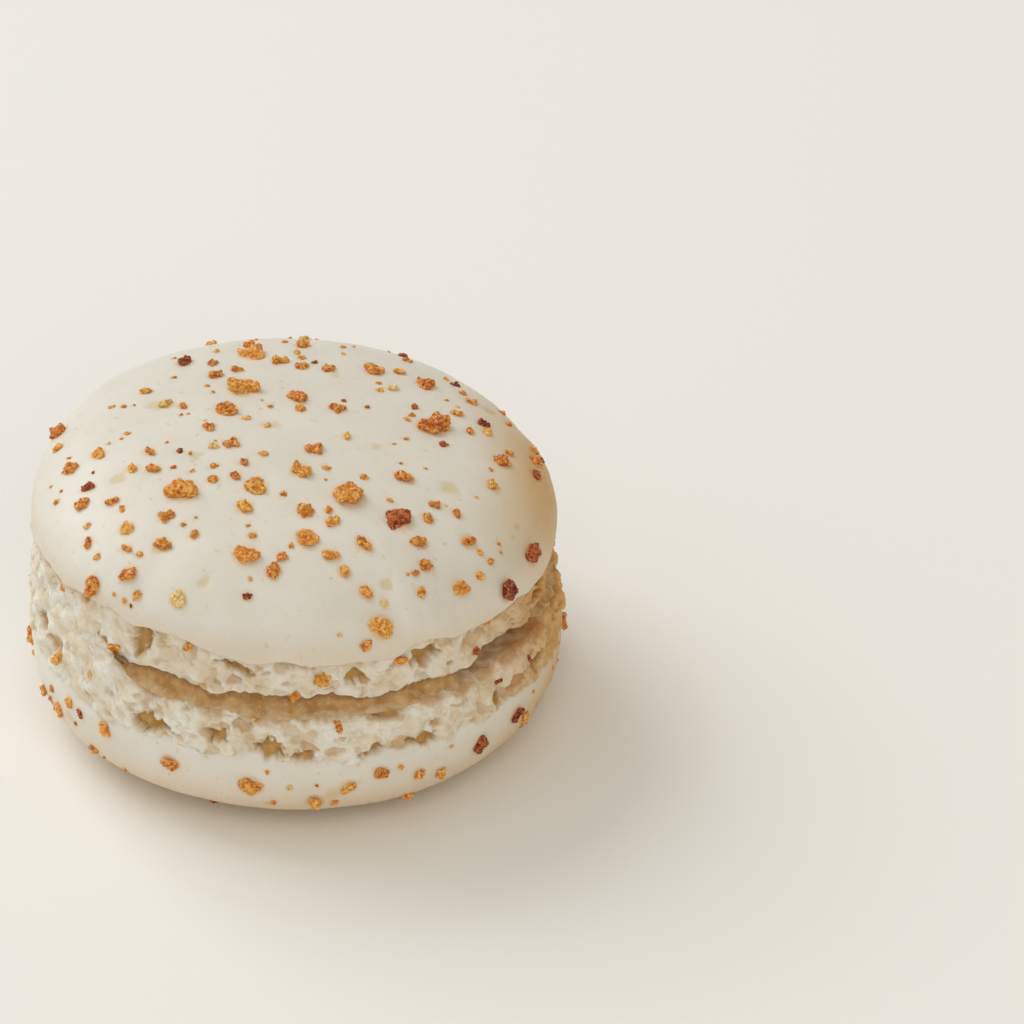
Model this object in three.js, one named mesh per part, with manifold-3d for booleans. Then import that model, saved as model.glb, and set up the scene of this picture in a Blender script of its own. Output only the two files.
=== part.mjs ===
// French macaron: two almond meringue shells with a layer of caramel buttercream between them.
// Each shell is one solid: a smooth domed skin, the foamy foot that rose under it in the oven,
// and the larger of the toasted crumbs that were sprinkled on the wet batter.
// Lengths are in millimetres and angles in degrees. +Z is up, and the origin is on the resting
// face, under the middle of the macaron. Azimuth 0 is +X and it grows towards +Y.

import * as THREE from 'three';
import Module from 'manifold-3d';
import { mergeVertices } from 'three/addons/utils/BufferGeometryUtils.js';

const wasm = await Module();
wasm.setup();

// Driving dimensions of the upper shell, measured from the plane of its skin's edge.
// The two exponents shape the dome: side is how upright its flank is, crown how flat its top.
const UPPER = {
  radius: 22.4,
  dome: 7.05,
  side: 2.29,
  crown: 2.36,
  foot: 4.1,
  footRadius: 22.15,
  lean: { x: 0.8, y: 3.8 },
  centre: new THREE.Vector3(0, 0.05, 19.15),
};

// The lower shell stands on its dome. Its skin's edge lies at the height called skin.
const LOWER = {
  radius: 23,
  skin: 8.3,
  side: 3.27,
  crown: 3.86,
  foot: 4.5,
  footRadius: 22.4,
  footSpread: 0.5,
  lean: { x: -0.7, y: 1.6 },
  restRadius: 7.5,
};

// The buttercream reaches almost to the rim of the lower foot and slopes in under the upper one.
const FILLING = { radius: 21.9, slope: 1.5, gap: 0.38 };

// Where the buttercream stops further in: azimuth, half width, distance.
const FILLING_LOBES = [[-36, 14, 1.3], [62, 13, 0.6], [150, 10, 0.4]];

// How far the skin's edge stands out over the foot, and how thick that edge is.
const LIP = { overhang: 0.75, thickness: 0.4 };

// The upper shell is hollowed behind its rim, and the lower one swells up in the middle.
const UNDERSIDE = { recess: 0.65, radius: 20.3, rim: 21.8 };
const PLATEAU = { rise: 0.5, foot: 20.4, radius: 18.6, rim: 22.1 };

// Edges that wander: each wave has a count round the shell, an amplitude and a phase.
const SKIN_WAVES = [[3, 0.12, 50], [8, 0.1, 20], [17, 0.06, 200]];
const UPPER_HEM_WAVES = [[5, 0.1, 80], [11, 0.14, 10], [19, 0.17, 140]];
const LOWER_HEM_WAVES = [[4, 0.1, 200], [9, 0.1, 60], [16, 0.12, 300]];
const OUTLINE_WAVES = [[2, 0.1, 30], [3, 0.08, 200], [5, 0.06, 110]];

// Lobes where an edge hangs lower (or, below zero, is drawn up): azimuth, half width, drop.
const SKIN_LOBES = [[-84, 20, 0.5], [-20, 9, 0.6], [-136, 8, -0.5], [38, 15, 0.35], [100, 21, 0.4]];
const UPPER_HEM_LOBES = [[-37, 7, -0.9], [-60, 14, 0.3], [75, 9, -0.4], [170, 12, 0.3]];
const LOBE_SOFTNESS = 3;

// Foam of the foot: waves with a count round the shell, a phase shift per millimetre of height
// and an amplitude.
const FOAM_WAVES = [[13, 0.5, 0.12], [23, 0.9, 0.14], [37, -1.3, 0.12], [53, 1.7, 0.08]];

// Burst bubbles in the foot: azimuth, share of the foot's height above its lower end, width,
// height and depth. The list holds the ones in front, and the rule below adds the others.
const UPPER_POCKETS = [[-100, 0.72, 3.2, 1.0, 0.8], [-58, 0.62, 2.6, 1.6, 0.9],
  [-124, 0.6, 1.6, 2.4, 0.7], [-75, 0.55, 2.0, 1.2, 0.5]];
const LOWER_POCKETS = [[-122, 0.3, 3.6, 1.7, 0.9], [-105, 0.45, 1.3, 1.1, 0.6],
  [-94, 0.3, 2.4, 2.2, 0.8], [-87, 0.14, 1.9, 1.1, 0.8], [-72, 0.12, 2.3, 1.2, 0.8],
  [-60, 0.16, 2.6, 1.1, 0.6], [-68, 0.84, 2.3, 0.9, 0.6], [-40, 0.3, 1.0, 2.0, 0.6]];
const POCKET_RULE = { from: -25, to: 215, count: 15, width: [1.3, 3.0], height: [0.9, 1.8],
  depth: [0.45, 0.9] };

// Crumbs placed by hand on the upper skin: azimuth, share of the radius, length.
const UPPER_CRUMBS = [[123, 0.4, 3.0], [18, 0.54, 3.2], [-141, 0.54, 2.9], [-60, 0.4, 2.9],
  [107, 0.66, 2.7], [-49, 0.59, 2.7], [147, 0.33, 2.3], [166, 0.95, 2.2], [-115, 0.35, 2.3],
  [-104, 0.71, 2.3], [-137, 0.995, 2.0], [-69, 0.96, 2.3], [-86, 0.22, 2.1], [-85, 0.6, 2.0],
  [-22, 0.97, 2.1], [-35, 0.99, 2.1], [-26, 0.45, 1.8], [46, 0.69, 2.0], [128, 0.74, 1.8],
  [156, 0.56, 1.4], [-128, 0.78, 1.6], [-113, 0.48, 1.7], [-130, 0.93, 1.6], [-135, 0.67, 1.5],
  [127, 0.55, 1.5], [-52, 0.81, 1.4], [-140, 0.8, 1.5], [-95, 0.76, 1.6], [-36, 0.81, 1.5],
  [-66, 0.65, 1.7], [-50, 0.1, 1.7], [-74, 0.52, 1.4], [63, 0.61, 1.9], [-175, 0.75, 1.4],
  [-157, 0.86, 1.4], [-75, 0.76, 1.3], [-135, 0.86, 1.1], [-163, 0.64, 1.2], [56, 0.25, 1.5],
  [-47, 0.93, 1.6], [-116, 0.94, 1.6], [-49, 0.72, 1.4], [90, 0.75, 1.7], [172, 0.34, 1.2],
  [-170, 0.56, 1.2], [27, 0.68, 1.2], [34, 0.8, 1.2], [-32, 0.62, 1.1], [-10, 0.75, 1.2]];

// Crumbs placed by hand on the lower skin: azimuth, share of the skin's height, length.
const LOWER_CRUMBS = [[-98, 0.72, 2.2], [-46, 0.72, 2.0], [-116, 0.8, 1.8], [-34, 0.8, 1.7],
  [-133, 0.88, 1.5], [-150, 0.66, 1.4], [-62, 0.7, 1.2]];

// The rule for the other crumbs: the largest come first, and each next one is smaller.
// Only those of this many that are placed first are large enough to be solids.
const CRUMB_RULE = { first: 1.9, halfAt: 22, fade: 0.72, spacing: 0.5 };
const UPPER_CRUMB_COUNT = 64;
const LOWER_CRUMB_COUNT = 30;

// Two irrational steps that spread any number of points evenly.
const SPREAD = [0.7548776662, 0.569840291];
const GOLDEN = 0.6180339887;

const shellMaterial = new THREE.MeshStandardMaterial({ color: '#e6dfd0', roughness: 0.6 });
const fillingMaterial = new THREE.MeshStandardMaterial({ color: '#c69556', roughness: 0.5 });

const radians = THREE.MathUtils.degToRad;
const fraction = (value) => value - Math.floor(value);

// One repeatable draw from 0 to 1 for each pair of whole numbers.
function draw(index, kind) {
  return fraction(Math.sin(index * 12.9898 + kind * 78.233) * 43758.5453);
}

function wavesAt(waves, azimuth) {
  return waves.reduce((sum, [count, amplitude, phase]) =>
    sum + amplitude * Math.sin(radians(count * azimuth + phase)), 0);
}

function turnBetween(a, b) {
  return Math.abs(fraction((a - b) / 360 + 0.5) - 0.5) * 360;
}

function lobesAt(lobes, azimuth) {
  return lobes.reduce((sum, [centre, halfWidth, drop]) => {
    const inside = (halfWidth - turnBetween(azimuth, centre)) / LOBE_SOFTNESS;
    return sum + drop * THREE.MathUtils.smoothstep(inside, -1, 1);
  }, 0);
}

const skinEdge = (azimuth) => wavesAt(SKIN_WAVES, azimuth) - lobesAt(SKIN_LOBES, azimuth);
const outline = (azimuth) => wavesAt(OUTLINE_WAVES, azimuth);

function upperHem(azimuth) {
  return wavesAt(UPPER_HEM_WAVES, azimuth) - lobesAt(UPPER_HEM_LOBES, azimuth);
}

// The listed pockets of a foot, with more by rule where the list has none.
function pocketsOf(listed, seed) {
  const { from, to, count, width, height, depth } = POCKET_RULE;
  const between = ([low, high], index, kind) => low + (high - low) * draw(index, kind + seed);
  const ruled = Array.from({ length: count }, (_, index) => [
    from + (to - from) * (index + 0.5 * draw(index, seed)) / count,
    0.15 + 0.7 * fraction(0.3 + index * GOLDEN),
    between(width, index, 1),
    between(height, index, 2),
    between(depth, index, 3),
  ]);
  return [...listed, ...ruled];
}

// How far the foam stands out at a place on a foot's wall, and in where a bubble burst.
function foamAt(azimuth, height, shell, pockets) {
  let relief = FOAM_WAVES.reduce((sum, [count, shift, amplitude]) =>
    sum + amplitude * Math.sin(radians(count * azimuth) + shift * height), 0);
  for (const [centre, share, width, tall, depth] of pockets) {
    const across = radians(turnBetween(azimuth, centre)) * shell.footRadius / (width / 2);
    const up = (height - share * shell.foot) / (tall / 2);
    relief -= depth * THREE.MathUtils.smoothstep(1.25 - Math.hypot(across, up), 0, 0.6);
  }
  return relief;
}

const at = (azimuth, radius, height) => new THREE.Vector3(
  radius * Math.cos(radians(azimuth)), radius * Math.sin(radians(azimuth)), height);

// A ring of points round the axis; a ring of one point is a pole.
function ring(count, place) {
  return Array.from({ length: count }, (_, index) => place(360 * index / count));
}

// Closes the skin over rings that follow each other from the top pole down to the bottom one.
// Neighbouring rings may differ in count: each step is taken on the ring that is behind.
function closedSkin(rings) {
  const starts = [];
  let total = 0;
  for (const points of rings) {
    starts.push(total);
    total += points.length;
  }
  const faces = [];
  for (let row = 0; row + 1 < rings.length; row += 1) {
    const above = rings[row].length;
    const below = rings[row + 1].length;
    const top = (index) => starts[row] + index % above;
    const bottom = (index) => starts[row + 1] + index % below;
    const stepsAbove = above === 1 ? 0 : above;
    const stepsBelow = below === 1 ? 0 : below;
    let i = 0;
    let j = 0;
    while (i < stepsAbove || j < stepsBelow) {
      const stepBelow = i === stepsAbove
        || (j < stepsBelow && (j + 1) * stepsAbove <= (i + 1) * stepsBelow);
      if (stepBelow) {
        faces.push(top(i), bottom(j), bottom(j + 1));
        j += 1;
      } else {
        faces.push(top(i), bottom(j), top(i + 1));
        i += 1;
      }
    }
  }
  const geometry = new THREE.BufferGeometry();
  geometry.setAttribute('position', new THREE.Float32BufferAttribute(
    rings.flat().flatMap((point) => point.toArray()), 3));
  geometry.setIndex(faces);
  return geometry;
}

function toSolid(geometry) {
  return new wasm.Manifold(new wasm.Mesh({
    numProp: 3,
    vertProperties: new Float32Array(geometry.attributes.position.array),
    triVerts: new Uint32Array(geometry.index.array),
  }));
}

function toGeometry(solid) {
  const mesh = solid.getMesh();
  const geometry = new THREE.BufferGeometry();
  geometry.setAttribute('position', new THREE.BufferAttribute(mesh.vertProperties, 3));
  geometry.setIndex(new THREE.BufferAttribute(mesh.triVerts, 1));
  geometry.computeVertexNormals();
  return geometry;
}

// A place on the upper skin, in the upper shell's own frame, at a share of its radius.
function upperSkin(azimuth, share) {
  const turn = Math.acos(Math.min(share, 1) ** (UPPER.side / 2));
  const lift = Math.sin(turn) ** (2 / UPPER.crown);
  const nearEdge = (1 - lift) ** 2;
  return at(azimuth, share * (UPPER.radius + outline(azimuth)),
    UPPER.dome * lift + nearEdge * skinEdge(azimuth));
}

// The height of the lower shell's leaning skin-edge plane over a place.
function lowerPlane(azimuth, radius) {
  const spot = at(azimuth, radius, 0);
  return LOWER.skin - Math.tan(radians(LOWER.lean.y)) * spot.x
    + Math.tan(radians(LOWER.lean.x)) * spot.y;
}

// A place on the lower skin at a share of its height, from 0 on the resting face to 1.
function lowerSkin(azimuth, share) {
  const turn = Math.asin((1 - share) ** (LOWER.crown / 2));
  const radius = (LOWER.radius + outline(azimuth + 140)) * Math.cos(turn) ** (2 / LOWER.side);
  return at(azimuth, radius, share * lowerPlane(azimuth, radius));
}

// Rings of the upper shell from its top down to the middle of its underside.
const DOME_RINGS = [[12, 0.25], [24, 0.46], [36, 0.63], [48, 0.77], [64, 0.875], [80, 0.94],
  [104, 0.98], [132, 0.997]];
const FOOT_SIDES = 144;
const FOOT_SHARES = [0.84, 0.7, 0.56, 0.42, 0.28, 0.14];
const INNER_RINGS = [72, 24];

function upperRings() {
  const pockets = pocketsOf(UPPER_POCKETS, 10);
  const wall = (share) => (azimuth) => {
    const flare = UPPER.footRadius - LIP.overhang * share ** 2;
    const bottom = upperHem(azimuth) - UPPER.foot;
    const top = skinEdge(azimuth) - LIP.thickness;
    return at(azimuth, flare + foamAt(azimuth, share * UPPER.foot, UPPER, pockets),
      THREE.MathUtils.lerp(bottom, top, share));
  };
  const inner = UNDERSIDE.recess - UPPER.foot;
  return [
    ring(1, () => upperSkin(0, 0)),
    ...DOME_RINGS.map(([sides, share]) => ring(sides, (azimuth) => upperSkin(azimuth, share))),
    ring(FOOT_SIDES, (azimuth) => upperSkin(azimuth, 1)),
    ring(FOOT_SIDES, (azimuth) => at(azimuth, UPPER.radius - LIP.overhang,
      skinEdge(azimuth) - LIP.thickness)),
    ...FOOT_SHARES.map((share) => ring(FOOT_SIDES, wall(share))),
    ring(FOOT_SIDES, (azimuth) => at(azimuth, UNDERSIDE.rim, upperHem(azimuth) - UPPER.foot)),
    ring(INNER_RINGS[0], (azimuth) => at(azimuth, UNDERSIDE.radius, inner)),
    ring(INNER_RINGS[1], (azimuth) => at(azimuth, UNDERSIDE.radius / 2, inner)),
    ring(1, () => at(0, 0, inner)),
  ];
}

const LOWER_SKIN_RINGS = [[132, 0.9], [112, 0.76], [96, 0.6], [80, 0.44], [64, 0.28], [48, 0.13],
  [32, 0.04]];

function lowerRings() {
  const pockets = pocketsOf(LOWER_POCKETS, 20);
  const onPlane = (azimuth, radius, height) =>
    at(azimuth, radius, lowerPlane(azimuth, radius) + height);
  const rim = (azimuth) => LOWER.foot + wavesAt(LOWER_HEM_WAVES, azimuth);
  const wall = (share) => (azimuth) => {
    const spread = LOWER.footRadius + LOWER.footSpread * (1 - share);
    const relief = foamAt(azimuth, share * LOWER.foot, LOWER, pockets);
    return onPlane(azimuth, spread + relief, share * rim(azimuth));
  };
  const plateau = LOWER.foot + PLATEAU.rise;
  return [
    ring(1, () => onPlane(0, 0, plateau)),
    ring(INNER_RINGS[1], (azimuth) => onPlane(azimuth, PLATEAU.radius / 2, plateau)),
    ring(INNER_RINGS[0], (azimuth) => onPlane(azimuth, PLATEAU.radius, plateau)),
    ring(INNER_RINGS[0], (azimuth) => onPlane(azimuth, PLATEAU.foot, LOWER.foot)),
    ring(FOOT_SIDES, (azimuth) => onPlane(azimuth, PLATEAU.rim, rim(azimuth))),
    ...FOOT_SHARES.map((share) => ring(FOOT_SIDES, wall(share))),
    ring(FOOT_SIDES, (azimuth) => lowerSkin(azimuth, 1)),
    ...LOWER_SKIN_RINGS.map(([sides, share]) =>
      ring(sides, (azimuth) => lowerSkin(azimuth, share))),
    ring(24, (azimuth) => at(azimuth, LOWER.restRadius, 0)),
    ring(1, () => at(0, 0, 0)),
  ];
}

// All crumbs of one skin: the ones placed by hand, then the ruled ones where there is room.
// The second number of each is a share of the skin, which toShare makes of an even draw.
function crumbsOf(listed, count, skin, toShare) {
  const crumbs = listed.map(([azimuth, share, size]) => ({ azimuth, share, size }));
  for (let index = 0; crumbs.length < count; index += 1) {
    const azimuth = 360 * fraction(0.5 + index * SPREAD[0]);
    const share = toShare(fraction(0.5 + index * SPREAD[1]));
    const size = CRUMB_RULE.first * (1 + index / CRUMB_RULE.halfAt) ** -CRUMB_RULE.fade;
    const spot = skin(azimuth, share);
    const crowded = crumbs.some((other) => spot.distanceTo(skin(other.azimuth, other.share))
      < (size + other.size) / 2 + CRUMB_RULE.spacing);
    if (!crowded) crumbs.push({ azimuth, share, size });
  }
  return crumbs;
}

// A lumpy grain of about twenty faces, sunk a little into the skin that it lies on.
const GRAIN = { scale: 1.12, width: 0.8, height: 0.56, lumpiness: 0.35, sink: 0.08 };

function grain({ azimuth, share, size }, index, skin) {
  const geometry = new THREE.IcosahedronGeometry(0.5, 0);
  geometry.deleteAttribute('normal');
  geometry.deleteAttribute('uv');
  const merged = mergeVertices(geometry);
  const position = merged.attributes.position;
  for (let corner = 0; corner < position.count; corner += 1) {
    const swell = 1 - GRAIN.lumpiness * draw(index * 20 + corner, 5);
    position.setXYZ(corner, swell * position.getX(corner), swell * position.getY(corner),
      swell * position.getZ(corner));
  }
  const spot = skin(azimuth, share);
  const along = skin(azimuth + 0.5, share).sub(spot).normalize();
  const inward = skin(azimuth, share - 0.01).sub(spot).normalize();
  const outward = new THREE.Vector3().crossVectors(along, inward).normalize();
  if (outward.dot(spot) < 0) outward.negate();
  const length = size * GRAIN.scale;
  merged.scale(length, length * GRAIN.width, length * GRAIN.height);
  merged.rotateZ(Math.PI * draw(index, 6));
  const side = new THREE.Vector3().crossVectors(outward, along);
  merged.applyMatrix4(new THREE.Matrix4().makeBasis(along, side, outward));
  const centre = spot.addScaledVector(outward, size * GRAIN.sink);
  merged.translate(centre.x, centre.y, centre.z);
  return toSolid(merged);
}

function withCrumbs(rings, crumbs, skin) {
  let solid = toSolid(closedSkin(rings));
  crumbs.forEach((crumb, index) => {
    solid = solid.add(grain(crumb, index, skin));
  });
  return toGeometry(solid);
}

function upperShell() {
  const crumbs = crumbsOf(UPPER_CRUMBS, UPPER_CRUMB_COUNT, upperSkin,
    (even) => Math.sqrt(0.01 + 0.93 * even));
  const mesh = new THREE.Mesh(withCrumbs(upperRings(), crumbs, upperSkin), shellMaterial);
  mesh.name = 'shell_top';
  mesh.position.copy(UPPER.centre);
  mesh.rotation.set(radians(UPPER.lean.x), radians(UPPER.lean.y), 0);
  return mesh;
}

function lowerShell() {
  const crumbs = crumbsOf(LOWER_CRUMBS, LOWER_CRUMB_COUNT, lowerSkin,
    (even) => 0.2 + 0.72 * Math.sqrt(even));
  const mesh = new THREE.Mesh(withCrumbs(lowerRings(), crumbs, lowerSkin), shellMaterial);
  mesh.name = 'shell_bottom';
  return mesh;
}

// The buttercream fills the wedge between the leaning shells. Its edge is given from the top
// down, as a share of the thickness and a share of the slope.
const FILLING_SIDES = 96;
const FILLING_EDGE = [[1, 1], [0.7, 0.66], [0.45, 0.36], [0.2, 0.1], [0.06, 0], [0, 0.12]];

function filling(upperPlace) {
  const reach = (azimuth) => FILLING.radius - lobesAt(FILLING_LOBES, azimuth);
  const topAt = (azimuth, radius) => {
    const nearRim = Math.max(0, (radius + FILLING.gap - UNDERSIDE.radius)
      / (UNDERSIDE.rim - UNDERSIDE.radius));
    const underside = THREE.MathUtils.lerp(UNDERSIDE.recess, upperHem(azimuth), nearRim);
    return at(azimuth, radius, underside - UPPER.foot - FILLING.gap).applyMatrix4(upperPlace).z;
  };
  const bottomAt = (azimuth, radius) => {
    const nearRim = Math.max(0, (radius - PLATEAU.foot) / (PLATEAU.rim - PLATEAU.foot));
    const swell = THREE.MathUtils.clamp(
      (PLATEAU.foot - radius) / (PLATEAU.foot - PLATEAU.radius), 0, 1);
    return lowerPlane(azimuth, radius) + LOWER.foot + FILLING.gap
      + nearRim * wavesAt(LOWER_HEM_WAVES, azimuth) + swell * PLATEAU.rise;
  };
  const layer = ([share, inset]) => ring(FILLING_SIDES, (azimuth) => {
    const radius = reach(azimuth) - inset * FILLING.slope;
    return at(azimuth, radius, THREE.MathUtils.lerp(
      bottomAt(azimuth, radius), topAt(azimuth, radius), share));
  });
  const below = (radius) => ring(INNER_RINGS[0], (azimuth) =>
    at(azimuth, radius, bottomAt(azimuth, radius)));
  const geometry = closedSkin([
    ring(1, () => at(0, 0, topAt(0, 0))),
    ring(INNER_RINGS[1], (azimuth) => at(azimuth, UNDERSIDE.radius / 2,
      topAt(azimuth, UNDERSIDE.radius / 2))),
    ...FILLING_EDGE.map(layer),
    below(PLATEAU.foot),
    below(PLATEAU.radius),
    ring(1, () => at(0, 0, bottomAt(0, 0))),
  ]);
  geometry.computeVertexNormals();
  const mesh = new THREE.Mesh(geometry, fillingMaterial);
  mesh.name = 'filling';
  return mesh;
}

const macaron = new THREE.Group();
const top = upperShell();
top.updateMatrix();
macaron.add(lowerShell(), filling(top.matrix), top);

export default macaron;
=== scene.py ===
# %% [markdown]
# A French macaron is two baked almond meringue shells round a layer of caramel buttercream, here
# with toasted caramel crumbs scattered over it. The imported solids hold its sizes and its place.
# Each of them is replaced by a mesh on the same curves, which adds what a solid leaves out: the
# blistered foam of the feet, the torn edge of the skin, and the crumbs down to the finest ones.

# %% Load the frame
import math
import bpy
import numpy as np
from mathutils import Matrix, Vector, noise


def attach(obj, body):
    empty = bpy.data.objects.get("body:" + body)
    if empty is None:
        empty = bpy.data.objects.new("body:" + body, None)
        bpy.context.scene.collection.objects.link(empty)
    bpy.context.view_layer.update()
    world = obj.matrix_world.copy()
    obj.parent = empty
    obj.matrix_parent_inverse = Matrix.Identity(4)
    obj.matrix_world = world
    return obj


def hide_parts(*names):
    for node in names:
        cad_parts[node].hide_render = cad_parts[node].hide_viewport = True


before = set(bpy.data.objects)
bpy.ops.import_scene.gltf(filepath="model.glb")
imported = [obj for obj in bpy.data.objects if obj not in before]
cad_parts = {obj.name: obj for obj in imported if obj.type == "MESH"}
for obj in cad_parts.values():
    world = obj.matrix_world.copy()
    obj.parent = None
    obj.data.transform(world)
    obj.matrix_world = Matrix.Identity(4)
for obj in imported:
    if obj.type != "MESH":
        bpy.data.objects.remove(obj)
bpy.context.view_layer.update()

# %% [markdown]
# The camera looks down at the macaron at 35 degrees through a long lens, from half a metre away.
# A long lens keeps the near and the far side of the shells almost equally large, as in a product
# photograph. It aims a little to the right, so the macaron stands left of the middle.

# %% Set up the camera
MM = 0.001
LOOK_DOWN = 34.55
CAMERA_DISTANCE = 520 * MM
AIM = Vector((18.59, 7.79, 13.04)) * MM
LENS = 209.9

away = Vector((0, -math.cos(math.radians(LOOK_DOWN)), math.sin(math.radians(LOOK_DOWN))))
bpy.ops.object.select_all(action="DESELECT")
bpy.ops.object.camera_add(location=AIM + CAMERA_DISTANCE * away)
camera = bpy.context.object
camera.rotation_euler = (math.radians(90 - LOOK_DOWN), 0, 0)
camera.data.lens = LENS
bpy.context.scene.camera = camera
print("camera at", [round(c * 1000) for c in camera.location], "mm")

# %% [markdown]
# The curves below are the ones that the solids are made from, in millimetres and degrees. The
# upper shell is measured from the plane of its skin's edge and leans on the buttercream. The
# lower one stands on its dome. Two exponents shape each dome: how upright its flank is (side)
# and how flat its top is (crown).

# %% Name the driving dimensions
UPPER = {"radius": 22.4, "dome": 7.05, "side": 2.29, "crown": 2.36, "foot": 4.1, "foot_radius": 22.15}
UPPER_LEAN = (0.8, 3.8)
UPPER_CENTRE = Vector((0, 0.05, 19.15))
LOWER = {"radius": 23, "skin": 8.3, "side": 3.27, "crown": 3.86, "foot": 4.5, "foot_radius": 22.4}
LOWER_LEAN = (-0.7, 1.6)
LOWER_SPREAD = 0.5
REST_RADIUS = 7.5
LIP = {"overhang": 0.75, "thickness": 0.4}
UNDERSIDE = {"recess": 0.65, "radius": 20.3, "rim": 21.8}
PLATEAU = {"rise": 0.5, "foot": 20.4, "radius": 18.6, "rim": 22.1}
FILLING = {"radius": 21.9, "slope": 1.5}
print("shells", 2 * UPPER["radius"], "and", 2 * LOWER["radius"], "mm across")

# %% [markdown]
# No edge of a macaron is straight. Each one wanders in a few waves round the shell, and hangs
# lower or is drawn up in single lobes. Noise on top of that tears the edge finely, because batter
# that rises in the oven breaks away from its dried skin. On the left the lower foot swelled up
# against the upper one, and the foam hides the buttercream.

# %% Let the edges wander
SKIN_WAVES = [(3, 0.12, 50), (8, 0.1, 20), (17, 0.06, 200)]
UPPER_HEM_WAVES = [(5, 0.1, 80), (11, 0.14, 10), (19, 0.17, 140)]
LOWER_HEM_WAVES = [(4, 0.1, 200), (9, 0.1, 60), (16, 0.12, 300)]
OUTLINE_WAVES = [(2, 0.1, 30), (3, 0.08, 200), (5, 0.06, 110)]
SKIN_LOBES = [(178, 20, 0.7), (-84, 20, 0.5), (-59, 4.5, -0.7), (-118, 5, -0.35), (-20, 9, 0.6),
              (-136, 8, -0.5), (38, 15, 0.35), (100, 21, 0.4)]
UPPER_HEM_LOBES = [(-37, 7, -0.9), (-60, 14, 0.3), (75, 9, -0.4), (170, 12, 0.3)]
FILLING_LOBES = [(-133, 7, -0.6), (-34, 14, 2.8), (62, 13, 0.6), (150, 10, 0.4)]
FOAM_BRIDGE = {"from": -214, "to": -130, "soft": 16, "rise": 3.7, "drop": 0.6, "flare": -0.05,
               "bend": 0.65, "ragged": 0.4, "pale": 0.7, "cream": 1.1}
LOBE_SOFTNESS = 3


def smooth(value, low, high):
    """A soft step from 0 at low to 1 at high."""
    along = np.clip((value - low) / (high - low), 0, 1)
    return along * along * (3 - 2 * along)


def rise_between(low, high, along):
    return low + (high - low) * along


def turn_between(one, other):
    return np.abs((one - other + 180) % 360 - 180)


def waves_at(waves, azimuth):
    return sum(size * np.sin(np.radians(count * azimuth + phase)) for count, size, phase in waves)


def lobes_at(lobes, azimuth):
    return sum(drop * smooth((half - turn_between(azimuth, centre)) / LOBE_SOFTNESS, -1, 1)
               for centre, half, drop in lobes)


def at(azimuth, radius, height):
    """Points from their azimuth in degrees, their distance from the axis and their height."""
    turn = np.radians(azimuth)
    return np.stack(np.broadcast_arrays(radius * np.cos(turn), radius * np.sin(turn), height), axis=-1)


def noise_at(points, scale, seed):
    """Smooth noise from about -1 to 1, with lumps about as wide as scale."""
    moved = (points / scale + (17.3 * seed, 5.1 * seed, 9.7 * seed)).tolist()
    return np.array([noise.noise(Vector(point)) for point in moved])


def layered(points, parts, seed):
    """Noise of several widths and strengths, added up."""
    return sum(size * noise_at(points, scale, seed + number)
               for number, (scale, size) in enumerate(parts))


def edge_noise(azimuth, scale, seed):
    """Noise that is the same for all points at one azimuth."""
    turns, back = np.unique(np.round(azimuth, 3), return_inverse=True)
    return noise_at(at(turns, UPPER["radius"], 0 * turns), scale, seed)[back]


def upper_skin_edge(azimuth):
    return waves_at(SKIN_WAVES, azimuth) - lobes_at(SKIN_LOBES, azimuth)


def bridge_at(azimuth):
    """1 where the two feet grew together, 0 elsewhere."""
    middle = (FOAM_BRIDGE["from"] + FOAM_BRIDGE["to"]) / 2
    half = (FOAM_BRIDGE["to"] - FOAM_BRIDGE["from"]) / 2
    return smooth(half - turn_between(azimuth, middle), -FOAM_BRIDGE["soft"] / 2, FOAM_BRIDGE["soft"] / 2)


def upper_hem(azimuth):
    wander = waves_at(UPPER_HEM_WAVES, azimuth) - lobes_at(UPPER_HEM_LOBES, azimuth)
    return wander - FOAM_BRIDGE["drop"] * bridge_at(azimuth)


def lower_hem(azimuth):
    return waves_at(LOWER_HEM_WAVES, azimuth) + FOAM_BRIDGE["rise"] * bridge_at(azimuth)


def outline(azimuth):
    return waves_at(OUTLINE_WAVES, azimuth)


print("upper skin edge wanders", round(np.ptp(upper_skin_edge(np.arange(360.0))), 2), "mm")

# %% [markdown]
# The two skins are superellipse domes. These functions give a place on each of them, so the
# shells, the crumbs and the stains round the crumbs all follow one surface.

# %% Describe the skins
def upper_skin(azimuth, share):
    """A place on the upper skin, in the upper shell's own frame, at a share of its radius."""
    turn = np.arccos(np.minimum(share, 1) ** (UPPER["side"] / 2))
    lift = np.sin(turn) ** (2 / UPPER["crown"])
    height = UPPER["dome"] * lift + (1 - lift) ** 2 * upper_skin_edge(azimuth)
    return at(azimuth, share * (UPPER["radius"] + outline(azimuth)), height)


def lower_plane(azimuth, radius):
    """The height of the lower skin's leaning edge plane."""
    spot = at(azimuth, radius, 0)
    across = math.tan(math.radians(LOWER_LEAN[1])) * spot[..., 0]
    along = math.tan(math.radians(LOWER_LEAN[0])) * spot[..., 1]
    return LOWER["skin"] - across + along


def lower_skin(azimuth, share):
    """A place on the lower skin at a share of its height, from 0 on the ground to 1."""
    turn = np.arcsin((1 - share) ** (LOWER["crown"] / 2))
    radius = (LOWER["radius"] + outline(azimuth + 140)) * np.cos(turn) ** (2 / LOWER["side"])
    return at(azimuth, radius, share * lower_plane(azimuth, radius))


upper_turn = (Matrix.Rotation(math.radians(UPPER_LEAN[0]), 3, "X")
              @ Matrix.Rotation(math.radians(UPPER_LEAN[1]), 3, "Y"))


def upper_place(points):
    """Moves points from the upper shell's own frame to the macaron's."""
    return points @ np.array(upper_turn).T + np.array(UPPER_CENTRE)


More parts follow.
